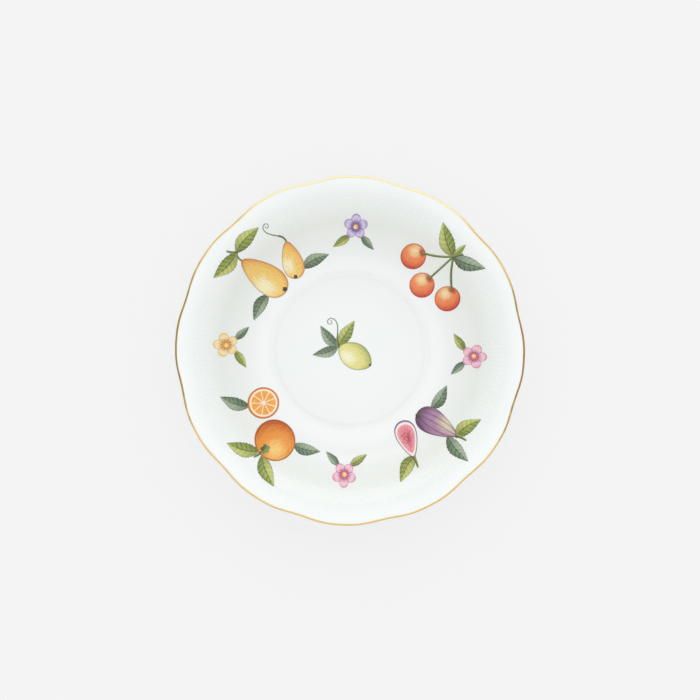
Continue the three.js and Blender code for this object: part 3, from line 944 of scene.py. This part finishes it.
def lay_enamel(name, grid, material, level, node):
    """Makes one patch of enamel that follows the porcelain under it."""
    rows, columns = grid.rim.shape
    lift = ENAMEL_EDGE + (ENAMEL_CROWN - ENAMEL_EDGE) * (1 - grid.rim**ENAMEL_FALL) + level * ENAMEL_LEVEL
    points = np.concatenate([drape(grid.plan, lift), drape(grid.plan, -ENAMEL_SUNK)])
    faces, walls = patch_faces(rows, columns)
    piece = add_piece(name, points, faces.tolist(), [material], node)
    mesh = piece.data
    smooth = np.ones(len(faces), bool)
    smooth[-walls:] = False
    mesh.polygons.foreach_set("use_smooth", smooth)
    store(mesh, "rim", np.tile(grid.rim.ravel(), 2))
    drawn = np.tile(grid.drawn.reshape(-1, 2) / 2 + 0.5, (2, 1))
    corners = np.empty(len(mesh.loops), np.int32)
    mesh.loops.foreach_get("vertex_index", corners)
    mesh.uv_layers.new(name="drawn").uv.foreach_set("vector", drawn[corners].astype(np.float32).ravel())


class Spray:
    """A group of motifs, drawn with +Y towards the rim and laid at a bearing from +X on a ring."""

    def __init__(self, bearing, ring):
        self.turned = bearing - 90
        self.middle = point(0, ring)

    def lay(self, name, grid, material, level=0, node=None):
        plan = placed(grid.plan + self.middle, 0, self.turned)
        lay_enamel(name, grid._replace(plan=plan), material, level, node)

    def fruit(self, node, material, form):
        self.lay(node + "_enamel", form.grid(), material, FRUIT_LEVEL, node=node)

    def leaf(self, node, material, base, turned, size, bend, tuck):
        self.lay(node + "_enamel", leaf_grid(base, turned, size, bend, tuck), material, node=node)

    def knot_leaf(self, node, material, knot, turned, size=1, bend=0):
        self.leaf(node, material, towards(knot, turned, KNOT_RADIUS), turned, size, bend, KNOT_RADIUS)

    def side_leaf(self, node, material, form, side, turned, size=1, bend=0):
        self.leaf(node, material, form.beside(side), turned, size, bend, LEAF_TUCK)

    def stem(self, node, start, end, bow, level=0):
        grid = strip_grid(bowed(start, end, bow), STEM_WIDTH)
        self.lay(node + "_enamel", grid, STEM_GREEN, level, node=node)

    def touch(self, name, material, form):
        """A small touch of colour on a fruit or blossom."""
        self.lay(name, form.grid(), material, TOUCH_LEVEL)

    def stroke(self, name, line, width, level=0):
        """A green brush line that tapers to half its width."""
        grid = strip_grid(line, np.linspace(width, width / 2, len(line)))
        self.lay(name, grid, STEM_GREEN, level)

    def twig(self, name, start, turned):
        """A bare twig over a knot. Returns its end."""
        end = towards(start, turned, TWIG_LENGTH)
        line = bowed(towards(start, turned, -TWIG_WIDTH / 2), end, TWIG_BOW)
        self.stroke(name, line, TWIG_WIDTH, TWIG_LEVEL)
        return end

    def tendril(self, name, start, turned, length, turns):
        self.stroke(name, curl(start, turned, length, turns), TENDRIL_WIDTH)

    def eye(self, name, middle, diameter):
        """A small dark star."""
        self.touch(name, DARK_LINE, Form(petalled, diameter, diameter, middle))


def cherry_spray():
    """Three cherries hanging from one knot."""
    spray = Spray(bearing=45, ring=SPRAY_RING)
    knot = point(0, CHERRY_KNOT)
    for index, hang in enumerate(CHERRY_HANGS):
        side = index - 1
        middle = knot + point(side * CHERRY_SPREAD, -hang)
        cherry = Form(round_outline, CHERRY_DIAMETER, CHERRY_DIAMETER, middle, side * CHERRY_LEAN)
        spray.fruit(f"cherry_{index + 1}", CHERRY_RED, cherry)
        dimple = cherry.inside(0, CHERRY_DIMPLE)
        spray.stem(f"cherry_stem_{index + 1}", dimple, knot, bow=side, level=TOUCH_LEVEL)
    spray.knot_leaf("cherry_leaf_1", LEAF_GREEN, knot, turned=66, bend=-1)
    spray.knot_leaf("cherry_leaf_2", GREY_GREEN, knot, turned=-64, size=0.95, bend=1)
    spray.knot_leaf("cherry_leaf_3", LEAF_GREEN, knot, turned=2, size=0.4)
    spray.twig("cherry_twig", knot, turned=-30)


def pear_spray():
    """A large and a small pear."""
    spray = Spray(bearing=135, ring=SPRAY_RING)
    outline = necked(PEAR_NECK)
    start = point(-SMALL_PEAR_WIDTH / 2, -PAIR_DROP)
    large = Form(outline, PEAR_WIDTH, PEAR_LENGTH, start, PEAR_LEAN)
    beside = large.beside(SMALL_PEAR_SIDE, PAIR_GAP + SMALL_PEAR_WIDTH / 2)
    small = Form(outline, SMALL_PEAR_WIDTH, SMALL_PEAR_LENGTH, beside, SMALL_PEAR_LEAN)
    spray.fruit("pear_1", PEAR_YELLOW, large)
    spray.fruit("pear_2", PEAR_YELLOW, small)
    pears = zip((large, small), PEAR_STALK_LEANS)
    ends = [towards(pear.beside(0), lean, PEAR_STALK) for pear, lean in pears]
    spray.stem("pear_stem_1", large.inside(0, STALK_SEAT), ends[0], bow=1)
    spray.stem("pear_stem_2", small.inside(0, STALK_SEAT), ends[1], bow=-1)
    spray.knot_leaf("pear_leaf_1", LEAF_GREEN, ends[0], turned=96, size=0.95, bend=-1)
    spray.knot_leaf("pear_leaf_2", LEAF_GREEN, ends[0], turned=-84, size=0.95, bend=-1)
    spray.side_leaf("pear_leaf_3", GREY_GREEN, large, side=-120, turned=108, size=0.85, bend=1)
    spray.side_leaf("pear_leaf_4", GREY_GREEN, small, side=120, turned=-104, size=0.85, bend=-1)
    spray.twig("pear_twig", ends[0], turned=40)
    spray.tendril("pear_tendril", ends[1], turned=40, length=16, turns=-1.25)
    spray.eye("pear_eye_1", large.inside(0.1, -0.9), EYE_DIAMETER)
    spray.eye("pear_eye_2", small.inside(-0.1, -0.88), EYE_DIAMETER * 0.8)


def mandarin_spray():
    """A whole and a halved mandarin."""
    spray = Spray(bearing=225, ring=SPRAY_RING)
    start = point(-HALF_MANDARIN_DIAMETER, -PAIR_DROP) / 2
    whole = Form(round_outline, MANDARIN_WIDTH, MANDARIN_LENGTH, start)
    beside = whole.beside(HALF_MANDARIN_SIDE, PAIR_GAP + HALF_MANDARIN_DIAMETER / 2)
    half = Form(round_outline, HALF_MANDARIN_DIAMETER, HALF_MANDARIN_DIAMETER, beside)
    spray.fruit("mandarin_whole", MANDARIN_ORANGE, whole)
    spray.fruit("mandarin_half", CUT_MANDARIN, half)
    spray.side_leaf("mandarin_leaf_1", LEAF_GREEN, whole, side=-12, turned=70, size=0.95, bend=1)
    spray.side_leaf("mandarin_leaf_2", LEAF_GREEN, whole, side=12, turned=-58, size=0.95, bend=-1)
    spray.side_leaf("mandarin_leaf_3", GREY_GREEN, whole, side=-126, turned=122, size=0.8, bend=1)
    spray.side_leaf("mandarin_leaf_4", GREY_GREEN, half, side=34, turned=-62, size=0.85, bend=-1)
    calyx = Form(petalled, CALYX_DIAMETER, CALYX_DIAMETER, whole.inside(0, 0.66), turned=20)
    stalk = bowed(calyx.middle, whole.beside(4, reach=3), bow=0.5)
    spray.touch("mandarin_calyx", STEM_GREEN, calyx)
    spray.stroke("mandarin_stalk", stalk, TWIG_WIDTH, TWIG_LEVEL)


def fig_spray():
    """A whole and a halved fig."""
    spray = Spray(bearing=315, ring=SPRAY_RING)
    outline = necked(FIG_NECK)
    whole = Form(outline, FIG_WIDTH, FIG_LENGTH, point(-HALF_FIG_WIDTH / 2, -PAIR_DROP), FIG_LEAN)
    beside = whole.beside(HALF_FIG_SIDE, PAIR_GAP + HALF_FIG_WIDTH / 2)
    half = Form(outline, HALF_FIG_WIDTH, HALF_FIG_LENGTH, beside, HALF_FIG_LEAN)
    spray.fruit("fig_whole", FIG_LILAC, whole)
    spray.fruit("fig_half", CUT_FIG, half)
    spray.side_leaf("fig_leaf_1", LEAF_GREEN, whole, side=0, turned=84, size=0.9, bend=-1)
    spray.side_leaf("fig_leaf_2", GREY_GREEN, whole, side=42, turned=-4, size=0.9, bend=1)
    spray.side_leaf("fig_leaf_3", LEAF_GREEN, half, side=0, turned=-74, size=0.85, bend=1)
    spray.side_leaf("fig_leaf_4", GREY_GREEN, whole, side=-120, turned=104, size=0.8, bend=1)
    spray.twig("fig_twig_1", whole.beside(0), turned=22)
    spray.twig("fig_twig_2", half.beside(0), turned=-20)
    spray.eye("fig_eye", whole.inside(0.1, -0.9), EYE_DIAMETER)


def lemon_sprig():
    """A lemon with three leaves in the well."""
    spray = Spray(bearing=90, ring=0)
    lemon = Form(pointed, LEMON_WIDTH, LEMON_LENGTH, point(LEMON_SHIFT, -LEMON_SHIFT), LEMON_LEAN)
    knot = lemon.beside(0)
    spray.fruit("lemon", LEMON_YELLOW, lemon)
    spray.knot_leaf("lemon_leaf_1", GREY_GREEN, knot, turned=112, size=0.75, bend=-1)
    spray.knot_leaf("lemon_leaf_2", GREY_GREEN, knot, turned=44, size=0.75, bend=-1)
    spray.knot_leaf("lemon_leaf_3", LEAF_GREEN, knot, turned=-30, size=0.85)
    end = spray.twig("lemon_twig", knot, turned=8)
    spray.tendril("lemon_tendril", end, turned=-2, length=18, turns=1.25)
    spray.eye("lemon_eye", lemon.inside(0, -0.93), EYE_DIAMETER / 2)


def blossom_sprig(number, bearing, material):
    """A small blossom with two leaves."""
    spray = Spray(bearing, BLOSSOM_RING)
    name = f"blossom_{number}"
    blossom = Form(petalled, BLOSSOM_DIAMETER, BLOSSOM_DIAMETER, point(0, 0))
    spray.fruit(name, material, blossom)
    spray.side_leaf(f"{name}_leaf_1", LEAF_GREEN, blossom, side=-144, turned=126, size=0.55)
    spray.side_leaf(f"{name}_leaf_2", GREY_GREEN, blossom, side=144, turned=-134, size=0.5)
    middle = Form(round_outline, BLOSSOM_EYE, BLOSSOM_EYE, blossom.middle)
    spray.touch(f"{name}_eye", PEAR_YELLOW, middle)


BODY_TREE = make_body()
make_gilding()
cherry_spray()
pear_spray()
mandarin_spray()
fig_spray()
lemon_sprig()
blossom_sprig(1, bearing=0, material=PETAL_PINK)
blossom_sprig(2, bearing=90, material=PETAL_LILAC)
blossom_sprig(3, bearing=180, material=PETAL_YELLOW)
blossom_sprig(4, bearing=270, material=PETAL_PINK)


# Studio


def background_rays(tree):
    """1 for rays from the camera and for reflections, which see the plain background."""
    kinds = ("Is Camera Ray", "Is Glossy Ray", "Is Transmission Ray")
    camera, glossy, transmission = [tree.add("LightPath", output=kind) for kind in kinds]
    return tree.math("MAXIMUM", camera, tree.math("MAXIMUM", glossy, transmission))


def make_floor():
    """Pale floor that takes the bowl's shadow and runs out into the background."""
    tree = Nodes(bpy.data.materials.new("floor"))
    radius = hypot(*tree.plan(tree.place()))
    away = tree.rise(radius, SHADOW_INNER, SHADOW_OUTER) * SHADOW_SHARE + (1 - SHADOW_SHARE)
    paper = tree.add("BsdfDiffuse", {"Color": BACKGROUND})
    plain = tree.add("Emission", {"Color": BACKGROUND})
    shader = tree.add("MixShader", {0: away * background_rays(tree), 1: paper, 2: plain})
    tree.feed(tree.graph.nodes["Material Output"].inputs["Surface"], shader)
    half = FLOOR_SIZE / 2 * METRES
    corners = [(-half, -half, 0), (half, -half, 0), (half, half, 0), (-half, half, 0)]
    mesh = bpy.data.meshes.new("floor")
    mesh.from_pydata(corners, [], [(0, 1, 2, 3)])
    mesh.materials.append(tree.owner)
    floor = bpy.data.objects.new("floor", mesh)
    bpy.context.scene.collection.objects.link(floor)


def make_world():
    """Even light from all round, seen as the plain background."""
    world = bpy.data.worlds.new("studio")
    bpy.context.scene.world = world
    tree = Nodes(world)
    seen = tree.add("Background", {"Color": BACKGROUND})
    light = tree.add("Background", {"Color": ROOM_LIGHT, "Strength": ROOM_STRENGTH})
    shader = tree.add("MixShader", {0: background_rays(tree), 1: light, 2: seen})
    tree.feed(tree.graph.nodes["World Output"].inputs["Surface"], shader)


def softbox(name, place, width, height, watts):
    """A large soft lamp that faces the bowl."""
    lamp = bpy.data.lights.new(name, "AREA")
    lamp.shape = "RECTANGLE"
    lamp.size = width * METRES
    lamp.size_y = height * METRES
    lamp.energy = watts
    holder = bpy.data.objects.new(name, lamp)
    holder.location = Vector(place) * METRES
    holder.rotation_euler = (-Vector(place)).to_track_quat("-Z", "Y").to_euler()
    bpy.context.scene.collection.objects.link(holder)


def make_camera():
    """Straight above the bowl, as in the photograph."""
    camera = bpy.data.cameras.new("camera")
    camera.lens = LENS
    camera.sensor_width = SENSOR
    holder = bpy.data.objects.new("camera", camera)
    distance = LENS / SENSOR * FRAME_WIDTH
    across, up = FRAME_RISE * direction(FRAME_TURN + 90)
    holder.location = Vector((across, up, LIP_CENTRE[1] + distance)) * METRES
    holder.rotation_euler = (0, 0, math.radians(FRAME_TURN))
    bpy.context.scene.collection.objects.link(holder)
    bpy.context.scene.camera = holder


make_floor()
make_world()
softbox("overhead", place=(0, 0, 1800), width=1600, height=1600, watts=2.8)
softbox("key", place=(0, 1700, 600), width=2600, height=1200, watts=6.2)
make_camera()
bpy.context.scene.view_settings.view_transform = "Standard"
